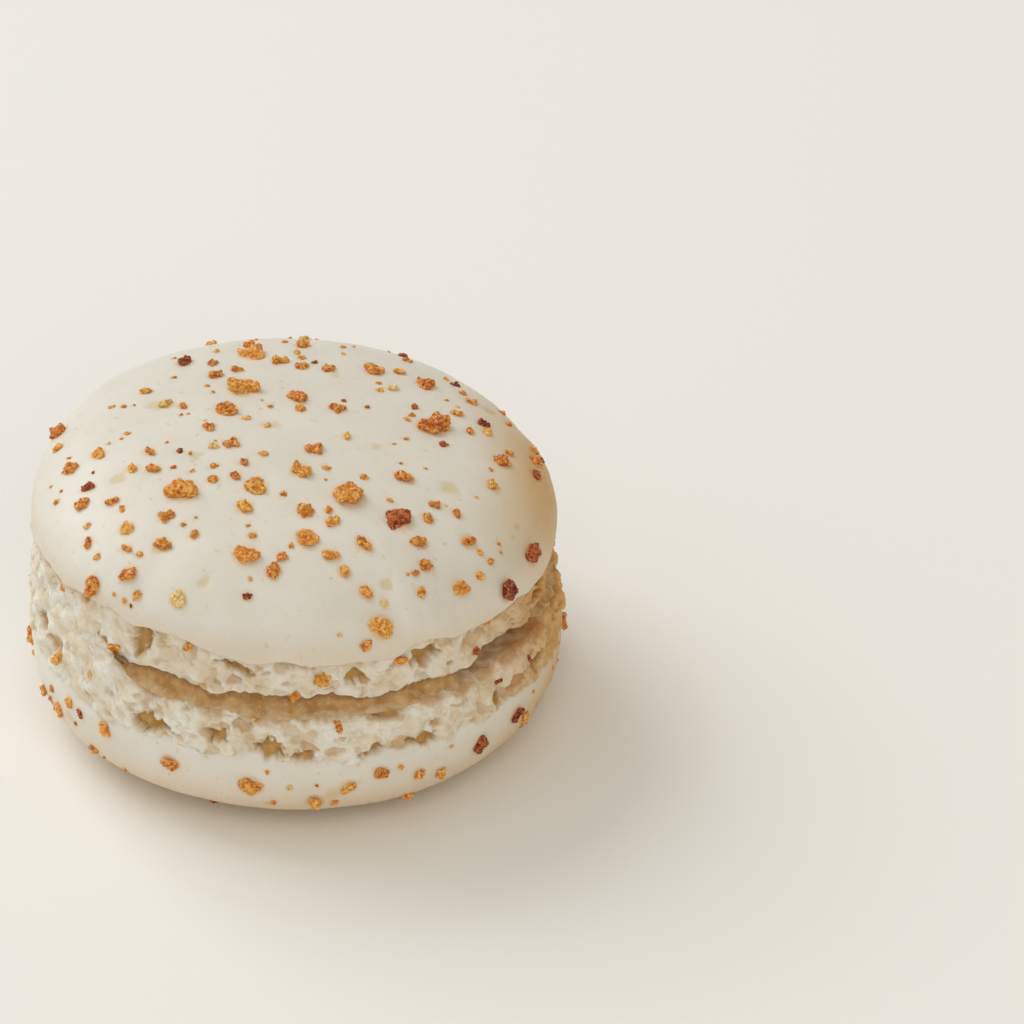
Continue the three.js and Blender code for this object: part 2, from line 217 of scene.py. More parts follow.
skin_top = upper_place(upper_skin(np.zeros(1), np.zeros(1)))[0, 2]
print("top of the upper skin at", round(skin_top, 2), "mm")

# %% [markdown]
# Crumbs were sprinkled on the wet batter before baking. The larger ones in front have their own
# places, and the next ones follow the rule of the solids: two irrational steps spread them evenly,
# and each is a little smaller than the one before. The finest fell by chance, often beside others.

# %% Place the crumbs
UPPER_CRUMBS = [(123, 0.4, 3.0, "golden"), (18, 0.54, 3.2, "amber"), (-141, 0.54, 2.9, "amber"),
                (-60, 0.4, 2.9, "amber"), (107, 0.66, 2.7, "amber"), (-49, 0.59, 2.7, "dark"),
                (147, 0.33, 2.3, "amber"), (166, 0.95, 2.2, "amber"), (-115, 0.35, 2.3, "golden"),
                (-104, 0.71, 2.3, "amber"), (-137, 0.995, 2.0, "amber"), (-69, 0.96, 2.3, "golden"),
                (-86, 0.22, 2.1, "golden"), (-85, 0.6, 2.0, "amber"), (-22, 0.97, 2.1, "dark"),
                (-35, 0.99, 2.1, "dark"), (-26, 0.45, 1.8, "amber"), (46, 0.69, 2.0, "amber"),
                (128, 0.74, 1.8, "dark"), (156, 0.56, 1.4, "pale"), (-128, 0.78, 1.6, "golden"),
                (-113, 0.48, 1.7, "golden"), (-130, 0.93, 1.6, "amber"), (-135, 0.67, 1.5, "golden"),
                (127, 0.55, 1.5, "amber"), (-52, 0.81, 1.4, "amber"), (-140, 0.8, 1.5, "golden"),
                (-95, 0.76, 1.6, "amber"), (-36, 0.81, 1.5, "amber"), (-66, 0.65, 1.7, "golden"),
                (-50, 0.1, 1.7, "amber"), (-74, 0.52, 1.4, "golden"), (63, 0.61, 1.9, "amber"),
                (-175, 0.75, 1.4, "golden"), (-157, 0.86, 1.4, "golden"), (-75, 0.76, 1.3, "golden"),
                (-135, 0.86, 1.1, "golden"), (-163, 0.64, 1.2, "golden"), (56, 0.25, 1.5, "amber"),
                (-47, 0.93, 1.6, "golden"), (-116, 0.94, 1.6, "pale"), (-49, 0.72, 1.4, "golden"),
                (90, 0.75, 1.7, "amber"), (172, 0.34, 1.2, "amber"), (-170, 0.56, 1.2, "golden"),
                (27, 0.68, 1.2, "golden"), (34, 0.8, 1.2, "amber"), (-32, 0.62, 1.1, "amber"),
                (-10, 0.75, 1.2, "golden")]
LOWER_CRUMBS = [(-98, 0.72, 2.2, "golden"), (-46, 0.72, 2.0, "dark"), (-116, 0.8, 1.8, "amber"),
                (-34, 0.8, 1.7, "dark"), (-133, 0.88, 1.5, "amber"), (-150, 0.66, 1.4, "amber"),
                (-62, 0.7, 1.2, "golden")]
UPPER_CRUMB_COUNT = 64
LOWER_CRUMB_COUNT = 30
FINE_CRUMBS = {"sizes": (0.36, 1.35), "evenness": 1.7, "company": 0.3, "away": (0.6, 1.1), "spacing": 0.15}
UPPER_FINE_COUNT = 130
LOWER_FINE_COUNT = 60
SKIN_RADIUS = 22
CRUMB_RULE = {"first": 1.9, "half_at": 22, "fade": 0.72, "spacing": 0.5}
SPREAD = (0.7548776662, 0.569840291)
TONES = ("amber", "golden", "pale", "dark")
TONE_SHARES = (0.47, 0.37, 0.06, 0.10)


def fraction(value):
    return value - math.floor(value)


def draw(index, kind):
    """One repeatable draw from 0 to 1 for each pair of whole numbers."""
    return fraction(math.sin(index * 12.9898 + kind * 78.233) * 43758.5453)


def pick_tone(index):
    """A crumb's tone, in the shares given above."""
    left = draw(index, 9)
    for tone, share in zip(TONES, TONE_SHARES):
        left -= share
        if left < 0:
            return tone
    return TONES[0]


def crowded(spot, size, crumbs, spacing):
    """Whether a crumb would touch one that is already there."""
    return any(np.linalg.norm(spot - other[4]) < (size + other[2]) / 2 + spacing for other in crumbs)


def crumbs_of(listed, count, skin, to_share):
    """Azimuth, share, size, tone and place of each crumb on one skin."""
    crumbs = [(azimuth, share, size, tone, skin(np.array(azimuth), np.array(share)))
              for azimuth, share, size, tone in listed]
    index = 0
    while len(crumbs) < count:
        azimuth = 360 * fraction(0.5 + index * SPREAD[0])
        share = to_share(fraction(0.5 + index * SPREAD[1]))
        size = CRUMB_RULE["first"] * (1 + index / CRUMB_RULE["half_at"]) ** -CRUMB_RULE["fade"]
        spot = skin(np.array(azimuth), np.array(share))
        if not crowded(spot, size, crumbs, CRUMB_RULE["spacing"]):
            crumbs.append((azimuth, share, size, pick_tone(index), spot))
        index += 1
    return crumbs


def scatter(crumbs, count, skin, to_share, seed):
    """Adds fine crumbs by chance. Some of them lie close beside a crumb that is already there."""
    wanted = len(crumbs) + count
    index = 0
    while len(crumbs) < wanted:
        index += 1
        size = rise_between(*FINE_CRUMBS["sizes"], draw(index, seed) ** FINE_CRUMBS["evenness"])
        azimuth = 360 * draw(index, seed + 1)
        share = to_share(draw(index, seed + 2))
        if draw(index, seed + 3) < FINE_CRUMBS["company"]:
            friend = crumbs[int(draw(index, seed + 4) * len(crumbs))]
            reach = rise_between(*FINE_CRUMBS["away"], draw(index, seed + 5)) * (friend[2] + size)
            radius = max(np.hypot(friend[4][0], friend[4][1]), 1)
            turn = 2 * math.pi * draw(index, seed + 6)
            azimuth = friend[0] + math.degrees(reach / radius) * math.cos(turn)
            share = min(0.99, friend[1] + reach / SKIN_RADIUS * math.sin(turn))
        spot = skin(np.array(azimuth), np.array(share))
        if not crowded(spot, size, crumbs, FINE_CRUMBS["spacing"]):
            crumbs.append((azimuth, share, size, pick_tone(index + seed), spot))
    return crumbs


def upper_share(even):
    return math.sqrt(0.01 + 0.93 * even)


def lower_share(even):
    return 0.2 + 0.72 * math.sqrt(even)


upper_crumbs = crumbs_of(UPPER_CRUMBS, UPPER_CRUMB_COUNT, upper_skin, upper_share)
upper_crumbs = scatter(upper_crumbs, UPPER_FINE_COUNT, upper_skin, upper_share, 300)
lower_crumbs = crumbs_of(LOWER_CRUMBS, LOWER_CRUMB_COUNT, lower_skin, lower_share)
lower_crumbs = scatter(lower_crumbs, LOWER_FINE_COUNT, lower_skin, lower_share, 400)
print(len(upper_crumbs), "crumbs on top, the last", round(upper_crumbs[-1][2], 2), "mm long")

# %% [markdown]
# The foot is set foam. Its relief is built up from what happened in it: broad swells, lumps, puffs
# with creases between them, patches where the crust broke off, and bubbles that burst and left
# flat-floored pits with ragged rims. The large pits are the ones in the solids, and the small ones
# follow the same spreading rule as the crumbs.

# %% Describe the foam
FOAM_WAVES = [(13, 0.5, 0.12), (23, 0.9, 0.14), (37, -1.3, 0.12), (53, 1.7, 0.08)]
UPPER_POCKETS = [(-100, 0.72, 3.2, 1.0, 0.8), (-58, 0.62, 2.6, 1.6, 0.9), (-124, 0.6, 1.6, 2.4, 0.7),
                 (-75, 0.55, 2.0, 1.2, 0.5)]
LOWER_POCKETS = [(-122, 0.3, 3.6, 1.7, 0.9), (-105, 0.45, 1.3, 1.1, 0.6), (-94, 0.3, 2.4, 2.2, 0.8),
                 (-87, 0.14, 1.9, 1.1, 0.8), (-72, 0.12, 2.3, 1.2, 0.8), (-60, 0.16, 2.6, 1.1, 0.6),
                 (-68, 0.84, 2.3, 0.9, 0.6), (-40, 0.3, 1.0, 2.0, 0.6)]
POCKET_RULE = {"first": -25, "last": 215, "count": 15, "width": (1.3, 3.0), "height": (0.9, 1.8),
               "depth": (0.45, 0.9)}
GOLDEN = 0.6180339887
FINE_PITS = {"count": 70, "sizes": (0.5, 1.8), "evenness": 2.4, "width": (1, 1.5), "height": (0.6, 1),
             "depth": (0.15, 0.3), "tone": (0.25, 0.85)}
PIT_EDGE = {"ragged": 0.62, "lumps": (0.9, 0.4), "fine": 0.7, "rim": 0.04, "rim_at": 1.35, "rim_width": 0.3}
LUMPS = ((2.8, 0.18), (1.3, 0.10))
PUFFS = ((1.6, 0.32), (0.8, 0.30), (0.42, 0.18))
PUFF_LEVEL = 0.25
BROKEN = {"scale": 1.7, "fine": 0.6, "cut": 0.28, "edge": 0.08, "depth": 0.16, "tone": 0.4}
CREASE_SHADE = {"depth": 0.24, "tone": 0.4}


def pockets_of(listed, seed):
    """The large pits: the listed ones in front, and others by rule round the rest."""
    rule = POCKET_RULE
    ruled = []
    for index in range(rule["count"]):
        step = index + 0.5 * draw(index, seed)
        azimuth = rule["first"] + (rule["last"] - rule["first"]) * step / rule["count"]
        share = 0.15 + 0.7 * fraction(0.3 + index * GOLDEN)
        sizes = [rise_between(*rule[side], draw(index, kind + seed))
                 for kind, side in enumerate(("width", "height", "depth"), 1)]
        ruled.append((azimuth, share, *sizes))
    return listed + ruled


def fine_pits_of(seed):
    """Many small pits, most of them near the smallest size."""
    pits = []
    for index in range(FINE_PITS["count"]):
        size = rise_between(*FINE_PITS["sizes"], draw(index, seed + 4) ** FINE_PITS["evenness"])
        azimuth = 360 * fraction(0.37 * seed + index * SPREAD[0])
        share = 0.04 + 0.92 * fraction(0.11 * seed + index * SPREAD[1])
        width = size * rise_between(*FINE_PITS["width"], draw(index, seed + 5))
        height = size * rise_between(*FINE_PITS["height"], draw(index, seed + 6))
        depth = size ** 0.7 * rise_between(*FINE_PITS["depth"], draw(index, seed + 7))
        tone = rise_between(*FINE_PITS["tone"], draw(index, seed + 8))
        pits.append((azimuth, share, width, height, depth, tone))
    return pits


def foam(azimuth, height, shell, pockets, seed):
    """Relief of a foot, and how much each point is tinted ochre, for pit floors, broken crust and painted
    shade in creases, at a height above the foot's lower end.
    """
    wall = at(azimuth, shell["foot_radius"], height)
    relief = sum(size * np.sin(np.radians(count * azimuth) + shift * height)
                 for count, shift, size in FOAM_WAVES)
    relief = relief + layered(wall, LUMPS, seed)
    puffs = sum(size * (np.abs(noise_at(wall, scale, seed + 3 + number)) - PUFF_LEVEL)
                for number, (scale, size) in enumerate(PUFFS))
    relief = relief + puffs
    coarse, fine = PIT_EDGE["lumps"]
    ragged = noise_at(wall, coarse, seed + 6) + PIT_EDGE["fine"] * noise_at(wall, fine, seed + 9)
    broken = noise_at(wall, BROKEN["scale"], seed + 7) + 0.5 * noise_at(wall, BROKEN["fine"], seed + 8)
    broken = smooth(broken, BROKEN["cut"], BROKEN["cut"] + BROKEN["edge"])
    relief = relief - BROKEN["depth"] * broken
    # Painted shade: the creases between the puffs are tinted ochre by how deep they lie.
    crease_shade = smooth(-puffs, 0, CREASE_SHADE["depth"])
    pit_and_crease_shade = np.maximum(BROKEN["tone"] * broken, CREASE_SHADE["tone"] * crease_shade)
    pits = [(*pocket, 1.0) for pocket in pockets] + fine_pits_of(seed)
    for centre, share, width, tall, depth, tone in pits:
        across = np.radians(turn_between(azimuth, centre)) * shell["foot_radius"] / (width / 2)
        up = (height - share * shell["foot"]) / (tall / 2)
        distance = np.hypot(across, up) + PIT_EDGE["ragged"] * ragged
        inside = smooth(1.1 - distance, 0, 0.2)
        rim = np.exp(-((distance - PIT_EDGE["rim_at"]) / PIT_EDGE["rim_width"]) ** 2)
        relief = relief - depth * inside + PIT_EDGE["rim"] * rim
        pit_and_crease_shade = np.maximum(pit_and_crease_shade, tone * inside)
    return relief, pit_and_crease_shade


def ring_foam(azimuth, height, shell, pockets, seed):
    """The relief at one height, worked out once for each azimuth."""
    turns, back = np.unique(np.round(azimuth, 3), return_inverse=True)
    return foam(turns, np.full(len(turns), float(height)), shell, pockets, seed)[0][back]


upper_pockets = pockets_of(UPPER_POCKETS, 10)
lower_pockets = pockets_of(LOWER_POCKETS, 20)
print(len(upper_pockets), "large pits in the upper foot and", len(lower_pockets), "in the lower one")

# %% [markdown]
# A shell starts as a ball with a fine net of faces. Half a ring is cut from a circle and spun by
# a Screw modifier, which takes a blink where a ready-made ball this fine takes half a minute. Its
# rows are shared out over the dome, the lip, the foot and the underside, and every point is slid
# to its place on those curves, so the dome runs into the foot without a seam.

# %% Slide a ball onto a profile
SEGMENTS = 840


def read_points(piece):
    points = np.empty(3 * len(piece.data.vertices))
    piece.data.vertices.foreach_get("co", points)
    return points.reshape(-1, 3)


def add_ball(name, segments, rows):
    """Spins half a ring into a ball, and gives each point's azimuth and its row from the top."""
    bpy.ops.object.select_all(action="DESELECT")
    bpy.ops.mesh.primitive_circle_add(vertices=2 * rows, radius=1, rotation=(math.pi / 2, 0, 0))
    ball = bpy.context.object
    ball.name = name
    ball.data.name = name
    bpy.ops.object.transform_apply(rotation=True)
    bpy.ops.object.mode_set(mode="EDIT")
    bpy.ops.mesh.select_all(action="SELECT")
    bpy.ops.mesh.bisect(plane_co=(0, 0, 0), plane_no=(1, 0, 0), clear_inner=True)
    bpy.ops.object.mode_set(mode="OBJECT")
    spin = ball.modifiers.new("Spin", "SCREW")
    spin.steps = segments
    spin.render_steps = segments
    spin.use_merge_vertices = True
    spin.merge_threshold = 1e-5
    bpy.ops.object.modifier_apply(modifier=spin.name)
    points = read_points(ball)
    row = np.round(np.arccos(np.clip(points[:, 2], -1, 1)) / math.pi * rows)
    return ball, np.degrees(np.arctan2(points[:, 1], points[:, 0])), row


def slide(piece, points, masks):
    """Puts the points in place, in metres, and keeps the masks as attributes for the material."""
    piece.data.vertices.foreach_set("co", (points * MM).ravel())
    for name, values in masks.items():
        mask = piece.data.attributes.new(name, "FLOAT", "POINT")
        mask.data.foreach_set("value", values.astype(np.float32))
    piece.data.update()
    bpy.ops.object.shade_smooth()


def stretches(rows, row):
    """Each named stretch of rows, the points in it, and how far along it they are."""
    start = 0
    for name, count in rows.items():
        inside = (row > start if start else row >= 0) & (row <= start + count)
        yield name, inside, (row[inside] - start) / count
        start += count


print("a ring has", SEGMENTS, "points")

# %% [markdown]
# The crumbs also leave marks in the skin: sugar melts out of them into a soft orange halo, and the
# larger ones sit in a shallow dent. Some crumbs sank into the batter and show only as pale yellow
# blotches. Shade is painted into the shells as well, in one golden mask: painted warm shade on the
# right side, painted shade on the edge of the upper skin, and painted shade near the tray.

# %% Stain and dent the skin, and paint its shade
UPPER_BLOTCHES = [(158, 0.6, 1.6), (140, 0.12, 1.3), (-20, 0.62, 2.2), (-112, 0.86, 1.3), (-65, 0.84, 1.2),
                  (-160, 0.7, 1.4), (30, 0.85, 1.5), (75, 0.5, 1.3), (-5, 0.3, 1.1), (-128, 0.8, 1.1),
                  (200, 0.4, 1.2), (-35, 0.8, 1.3)]
LOWER_BLOTCHES = [(-81, 0.62, 1.7), (-95, 0.5, 1.0), (-25, 0.6, 1.5), (-145, 0.7, 1.3), (60, 0.6, 1.5),
                  (150, 0.7, 1.4)]
HALO = {"from": 0.4, "width": 0.26}
BLOTCH = {"ragged": 0.35, "lumps": 0.8, "edge": (0.2, 0.6)}
PAINTED_SIDE_SHADE = {"middle": 5, "reach": (0, 50), "foam": 14, "low": 26, "heights": (3, 8), "radii": (14.5, 22)}
PAINTED_TRAY_SHADE = {"strength": 0.78, "height": 8.8}
PAINTED_LIP_SHADE = {"strength": 0.25, "height": 2.5}
UPPER_TOAST = 0.12
DENT = {"depth": 0.07, "from": 0.3, "to": 1.1, "full": 2}


def painted_side_shade(points, foot):
    """How much painted warm shade each point gets, most at the right, and further round on the foam."""
    turn = np.degrees(np.arctan2(points[:, 1], points[:, 0]))
    facing = smooth(np.hypot(points[:, 0], points[:, 1]), *PAINTED_SIDE_SHADE["radii"])
    low = 1 - smooth(points[:, 2], *PAINTED_SIDE_SHADE["heights"])
    wider = np.maximum(PAINTED_SIDE_SHADE["foam"] * foot, PAINTED_SIDE_SHADE["low"] * low)
    return facing * (1 - smooth(turn_between(turn, PAINTED_SIDE_SHADE["middle"]) - wider, *PAINTED_SIDE_SHADE["reach"]))


def marks_on(points, crumbs, blotches, skin):
    """Halo, blotch and dent masks of one skin."""
    halo = np.zeros(len(points))
    blotch = np.zeros(len(points))
    dent = np.zeros(len(points))
    for azimuth, share, size, tone, spot in crumbs:
        away_from = np.linalg.norm(points - spot, axis=1)
        near = 1 - smooth(away_from - HALO["from"] * size, 0, HALO["width"] * size ** 0.5)
        halo = np.maximum(halo, near)
        sunk = 1 - smooth(away_from, DENT["from"] * size, DENT["to"] * size)
        dent = np.maximum(dent, sunk * min(1, size / DENT["full"]))
    ragged = BLOTCH["ragged"] * noise_at(points, BLOTCH["lumps"], 41)
    for azimuth, share, size in blotches:
        away_from = np.linalg.norm(points - skin(np.array(azimuth), np.array(share)), axis=1)
        blotch = np.maximum(blotch, 1 - smooth(away_from / size + ragged, *BLOTCH["edge"]))
    return halo, blotch, dent


# %% [markdown]
# The upper shell: a dome, a thin lip that hangs over the foot, the foot, its torn hem and the
# hollow underside that sits on the buttercream.

# %% Make the upper shell
UPPER_ROWS = {"dome": 56, "lip": 6, "wall": 44, "hem": 4, "under": 7}
SKIN_SWELL = ((8.0, 0.10), (3.2, 0.04), (1.3, 0.012))
SKIN_TEAR = ((4.5, 0.30), (1.6, 0.22), (0.6, 0.08))
TEAR_FADE = 26
HEM_TEAR = ((2.2, 0.20), (0.8, 0.20), (0.4, 0.13))
HEM = {"relief": 0.4, "fade": 0.12, "tuck": 0.35, "tucked": 0.14}
SIDE_SHIFT = 0.13


def tuck_at(way, edge, azimuth):
    """How far a foot draws in at its edge, where way is 0. Feet that grew together don't."""
    return edge["tuck"] * np.clip(1 - way / edge["tucked"], 0, 1) ** 2 * (1 - bridge_at(azimuth))


def tear(azimuth, parts, seed):
    return sum(size * edge_noise(azimuth, scale, seed + number)
               for number, (scale, size) in enumerate(parts))


def upper_shape(azimuth, row):
    points = np.zeros((len(row), 3))
    foot = np.zeros(len(row))
    pit_and_crease_shade = np.zeros(len(row))
    edge = upper_skin_edge(azimuth) + tear(azimuth, SKIN_TEAR, 51)
    hem = upper_hem(azimuth) - UPPER["foot"] + tear(azimuth, HEM_TEAR, 61)
    hem_relief = HEM["relief"] * ring_foam(azimuth, 0, UPPER, upper_pockets, 10)
    lip_relief = ring_foam(azimuth, UPPER["foot"], UPPER, upper_pockets, 10)
    wall_top = edge - LIP["thickness"]
    overhang = LIP["overhang"] * (1 - bridge_at(azimuth))
    top_radius = UPPER["foot_radius"] - overhang + lip_relief
    for name, inside, along in stretches(UPPER_ROWS, row):
        turn = azimuth[inside]
        if name == "dome":
            share = np.cos((1 - along) * math.pi / 2) ** (2 / UPPER["side"])
            dome = upper_skin(turn, share)
            dome[:, 2] += share ** TEAR_FADE * (edge[inside] - upper_skin_edge(turn))
            points[inside] = dome
        elif name == "lip":
            bend = along * math.pi / 2
            out = UPPER["radius"] + outline(turn)
            radius = top_radius[inside] + (out - top_radius[inside]) * np.cos(bend)
            points[inside] = at(turn, radius, edge[inside] - LIP["thickness"] * np.sin(bend))
            foot[inside] = smooth(along, 0.4, 1)
        elif name == "wall":
            share = 1 - along
            # floor holds the ochre tint of the pits, with painted shade in the creases.
            relief, floor = foam(turn, share * UPPER["foot"], UPPER, upper_pockets, 10)
            floor = np.maximum(floor, UPPER_TOAST)
            pit_and_crease_shade[inside] = floor * (1 - FOAM_BRIDGE["pale"] * bridge_at(turn) * smooth(along, 0.1, 0.6))
            fade = rise_between(HEM["relief"], 1, smooth(share, 0, HEM["fade"]))
            radius = UPPER["foot_radius"] - overhang[inside] * share ** 2 - tuck_at(share, HEM, turn)
            radius = radius + fade * relief
            height = rise_between(hem[inside], wall_top[inside], share)
            points[inside] = at(turn, radius, height)
            foot[inside] = 1
        elif name == "hem":
            low = UNDERSIDE["recess"] - UPPER["foot"]
            radius = rise_between(UNDERSIDE["rim"] + hem_relief[inside], UNDERSIDE["radius"], along)
            points[inside] = at(turn, radius, rise_between(hem[inside], low, along))
            foot[inside] = 1
        else:
            radius = UNDERSIDE["radius"] * (1 - along)
            points[inside] = at(turn, radius, UNDERSIDE["recess"] - UPPER["foot"])
            foot[inside] = 1
    return points, foot, pit_and_crease_shade


def ruffle(points, foot, seed):
    """Shifts the foam sideways a little, so that its lumps overhang."""
    shifted = points.copy()
    for axis in range(3):
        shifted[:, axis] += SIDE_SHIFT * foot * noise_at(points, 0.9, seed + axis)
    return shifted


def swell(points, skin_share, seed):
    """Slow unevenness of a skin, straight out from the middle of the shell."""
    outward = points / np.linalg.norm(points, axis=1, keepdims=True)
    return points + outward * (skin_share * layered(points, SKIN_SWELL, seed))[:, None]


upper, azimuth, row = add_ball("upper_shell", SEGMENTS, sum(UPPER_ROWS.values()))
points, foot, pit_and_crease_shade = upper_shape(azimuth, row)
halo, blotch, dent = marks_on(points, upper_crumbs, UPPER_BLOTCHES, upper_skin)
points = swell(points, 1 - foot, 71)
points[:, 2] -= DENT["depth"] * (1 - foot) * np.maximum(dent, blotch)
points = ruffle(points, foot, 81)
# Painted shade: the skin darkens towards its edge, and goes into the golden mask with the side's painted warm
# shade.
painted_lip_shade = PAINTED_LIP_SHADE["strength"] * (1 - smooth(points[:, 2], 0, PAINTED_LIP_SHADE["height"])) * (1 - foot)
golden = np.maximum(painted_side_shade(upper_place(points), foot), painted_lip_shade)
slide(upper, upper_place(points), {"golden": golden, "foot": foot, "pit_and_crease_shade": pit_and_crease_shade, "halo": halo * (1 - foot),
                                   "blotch": blotch * (1 - foot)})
print("upper shell:", len(upper.data.polygons), "faces")

# %% [markdown]
# The lower shell stands on its dome, which spread wider on the tray of the oven. Its skin has no
# lip: the foam runs into it along a ragged line, and buttercream is smeared over the foot's top.

# %% Make the lower shell
LOWER_ROWS = {"plateau": 5, "rim": 10, "wall": 44, "skin": 50, "rest": 6}
SKIN_ROW_SPREAD = 1.6
RIM = {"bend_at": 0.35, "relief": 0.6, "drawn_in": 0.5, "tuck": 0.3, "tucked": 0.1}
OFF_GROUND = 1.5
FOAM_EDGE = {"height": 0.3, "wave": ((3.0, 0.5),), "ragged": ((1.6, 0.5), (0.6, 0.35)), "soft": 0.12,
             "deepest": 1.4}


def foam_mask(azimuth, height, edge):
    """1 on the foam and 0 on the skin, with a ragged line between them."""
    wall = at(azimuth, LOWER["foot_radius"], height)
    ragged = layered(wall, FOAM_EDGE["ragged"], 155)
    return smooth(height - edge + ragged, -FOAM_EDGE["soft"], FOAM_EDGE["soft"])


def lower_shape(azimuth, row):
    points = np.zeros((len(row), 3))
    foot = np.zeros(len(row))
    pit_and_crease_shade = np.zeros(len(row))
    smear = np.zeros(len(row))
    rim = LOWER["foot"] + lower_hem(azimuth) + tear(azimuth, HEM_TEAR, 161)
    rim = rim + FOAM_BRIDGE["ragged"] * bridge_at(azimuth) * edge_noise(azimuth, 1.8, 165)
    rim_relief = ring_foam(azimuth, LOWER["foot"], LOWER, lower_pockets, 20)
    edge = FOAM_EDGE["height"] + tear(azimuth, FOAM_EDGE["wave"], 151)
    rest_turn = math.acos((REST_RADIUS / LOWER["radius"]) ** (LOWER["side"] / 2))
    rest_share = 1 - math.sin(rest_turn) ** (2 / LOWER["crown"])
    for name, inside, along in stretches(LOWER_ROWS, row):
        turn = azimuth[inside]
        if name == "plateau":
            radius = PLATEAU["radius"] * along
            points[inside] = at(turn, radius, lower_plane(turn, radius) + LOWER["foot"] + PLATEAU["rise"])
            foot[inside] = 1
        elif name == "rim":
            stops = (0, RIM["bend_at"], 1)
            radius = np.interp(along, stops, (PLATEAU["radius"], PLATEAU["foot"], PLATEAU["rim"]))
            drawn_in = RIM["drawn_in"] * bridge_at(turn)
            radius = radius + along ** 3 * (RIM["relief"] * rim_relief[inside] - drawn_in)
            flat = LOWER["foot"] + PLATEAU["rise"] * (1 - np.minimum(along / RIM["bend_at"], 1))
            height = rise_between(flat, rim[inside], smooth(along, RIM["bend_at"], 1))
            points[inside] = at(turn, radius, lower_plane(turn, radius) + height)
            foot[inside] = 1
            smear[inside] = 1 - bridge_at(turn)
        elif name == "wall":
            share = 1 - along
            height = share * rim[inside]
            # floor holds the ochre tint of the pits, with painted shade in the creases.
            relief, floor = foam(turn, height, LOWER, lower_pockets, 20)
            mask = foam_mask(turn, height, edge[inside])
            radius = LOWER["foot_radius"] + LOWER_SPREAD * along - tuck_at(along, RIM, turn) + mask * relief
            swollen = FOAM_BRIDGE["flare"] * smooth(share, 0.3, 0.6)
            swollen = swollen - FOAM_BRIDGE["bend"] * smooth(share, 0.82, 1)
            radius = radius + swollen * bridge_at(turn)
            points[inside] = at(turn, radius, lower_plane(turn, radius) + height)
            foot[inside] = mask
            pit_and_crease_shade[inside] = floor * mask * (1 - FOAM_BRIDGE["pale"] * bridge_at(turn) * smooth(share, 0.3, 0.7))
            smear[inside] = smooth(height, rim[inside] - 1.2, rim[inside] - 0.1) * (1 - bridge_at(turn))
        elif name == "skin":
            bend = along ** SKIN_ROW_SPREAD * rest_turn
            share = 1 - np.sin(bend) ** (2 / LOWER["crown"])
            radius = (LOWER["radius"] + outline(turn + 140)) * np.cos(bend) ** (2 / LOWER["side"])
            plane = lower_plane(turn, radius)
            height = (share - rest_share) / (1 - rest_share) * plane
            below = height - plane
            near = below > -FOAM_EDGE["deepest"]
            mask = np.zeros(len(turn))
            mask[near] = foam_mask(turn[near], below[near], edge[inside][near])
            relief = np.zeros(len(turn))
            floor = np.zeros(len(turn))
            # floor holds the ochre tint of the pits, with painted shade in the creases.
            relief[near], floor[near] = foam(turn[near], below[near], LOWER, lower_pockets, 20)
            points[inside] = at(turn, radius + mask * relief, height)
            foot[inside] = mask
            pit_and_crease_shade[inside] = floor * mask
        else:
            points[inside] = at(turn, REST_RADIUS * (1 - along), 0)
    return points, foot, pit_and_crease_shade, smear


lower, azimuth, row = add_ball("lower_shell", SEGMENTS, sum(LOWER_ROWS.values()))
points, foot, pit_and_crease_shade, smear = lower_shape(azimuth, row)
halo, blotch, dent = marks_on(points, lower_crumbs, LOWER_BLOTCHES, lower_skin)
off_ground = smooth(points[:, 2], 0, OFF_GROUND)
middle = np.array((0, 0, LOWER["skin"]))
points = swell(points - middle, (1 - foot) * off_ground, 171) + middle
points = ruffle(points, foot, 181)
# Painted shade: the lower shell is darker and warmer towards the tray, and on its right side, in the golden
# mask.
painted_tray_shade = PAINTED_TRAY_SHADE["strength"] * (1 - smooth(points[:, 2], 0, PAINTED_TRAY_SHADE["height"]))
golden = np.maximum(painted_side_shade(points, foot), painted_tray_shade)
slide(lower, points, {"golden": golden, "foot": foot, "pit_and_crease_shade": pit_and_crease_shade, "smear": smear, "halo": halo * (1 - foot),
                      "blotch": blotch * (1 - foot)})
print("lower shell:", len(lower.data.polygons), "faces")

# %% [markdown]
# The buttercream was piped in a round and pressed flat, so it fills the wedge between the leaning
# shells and bulges softly at its edge. Where the feet grew together it stays behind their foam.
# Its profile is given from the top down, as shares of its thickness and of its slope.

# %% Make the buttercream
FILLING_ROWS = {"top": 6, "edge": 26, "bottom": 6}
FILLING_EDGE = [(1, 1.15), (0.7, 0.8), (0.45, 0.5), (0.2, 0.2), (0.06, 0.03), (-0.06, 0)]
FILLING_SEGMENTS = 640
CREAM_RIPPLES = ((5.0, 0.16), (1.6, 0.12), (0.6, 0.06))
CREAM_LUMPS = ((1.3, 0.24), (0.5, 0.19))
CREAM_OVERLAP = 0.06
CREAM_REACH = 0.35
CREAM_OUTER = (19.5, 20.5)
# Where the painted shade under the upper shell's hem starts and is full, as shares of the cream's thickness.
SHADE_UNDER_HEM = (0.35, 0.95)
TORN = (0, 0.5)


def cream_top(azimuth, radius):
    near_rim = np.clip((radius - UNDERSIDE["radius"]) / (UNDERSIDE["rim"] - UNDERSIDE["radius"]), 0, 1)
    height = rise_between(UNDERSIDE["recess"], upper_hem(azimuth), near_rim) - UPPER["foot"]
    return upper_place(at(azimuth, radius, height + CREAM_OVERLAP))[:, 2]


def cream_bottom(azimuth, radius):
    near_rim = np.maximum(0, (radius - PLATEAU["foot"]) / (PLATEAU["rim"] - PLATEAU["foot"]))
    bulge = np.clip((PLATEAU["foot"] - radius) / (PLATEAU["foot"] - PLATEAU["radius"]), 0, 1)
    return (lower_plane(azimuth, radius) + LOWER["foot"] - CREAM_OVERLAP + near_rim * lower_hem(azimuth)
            + bulge * PLATEAU["rise"])


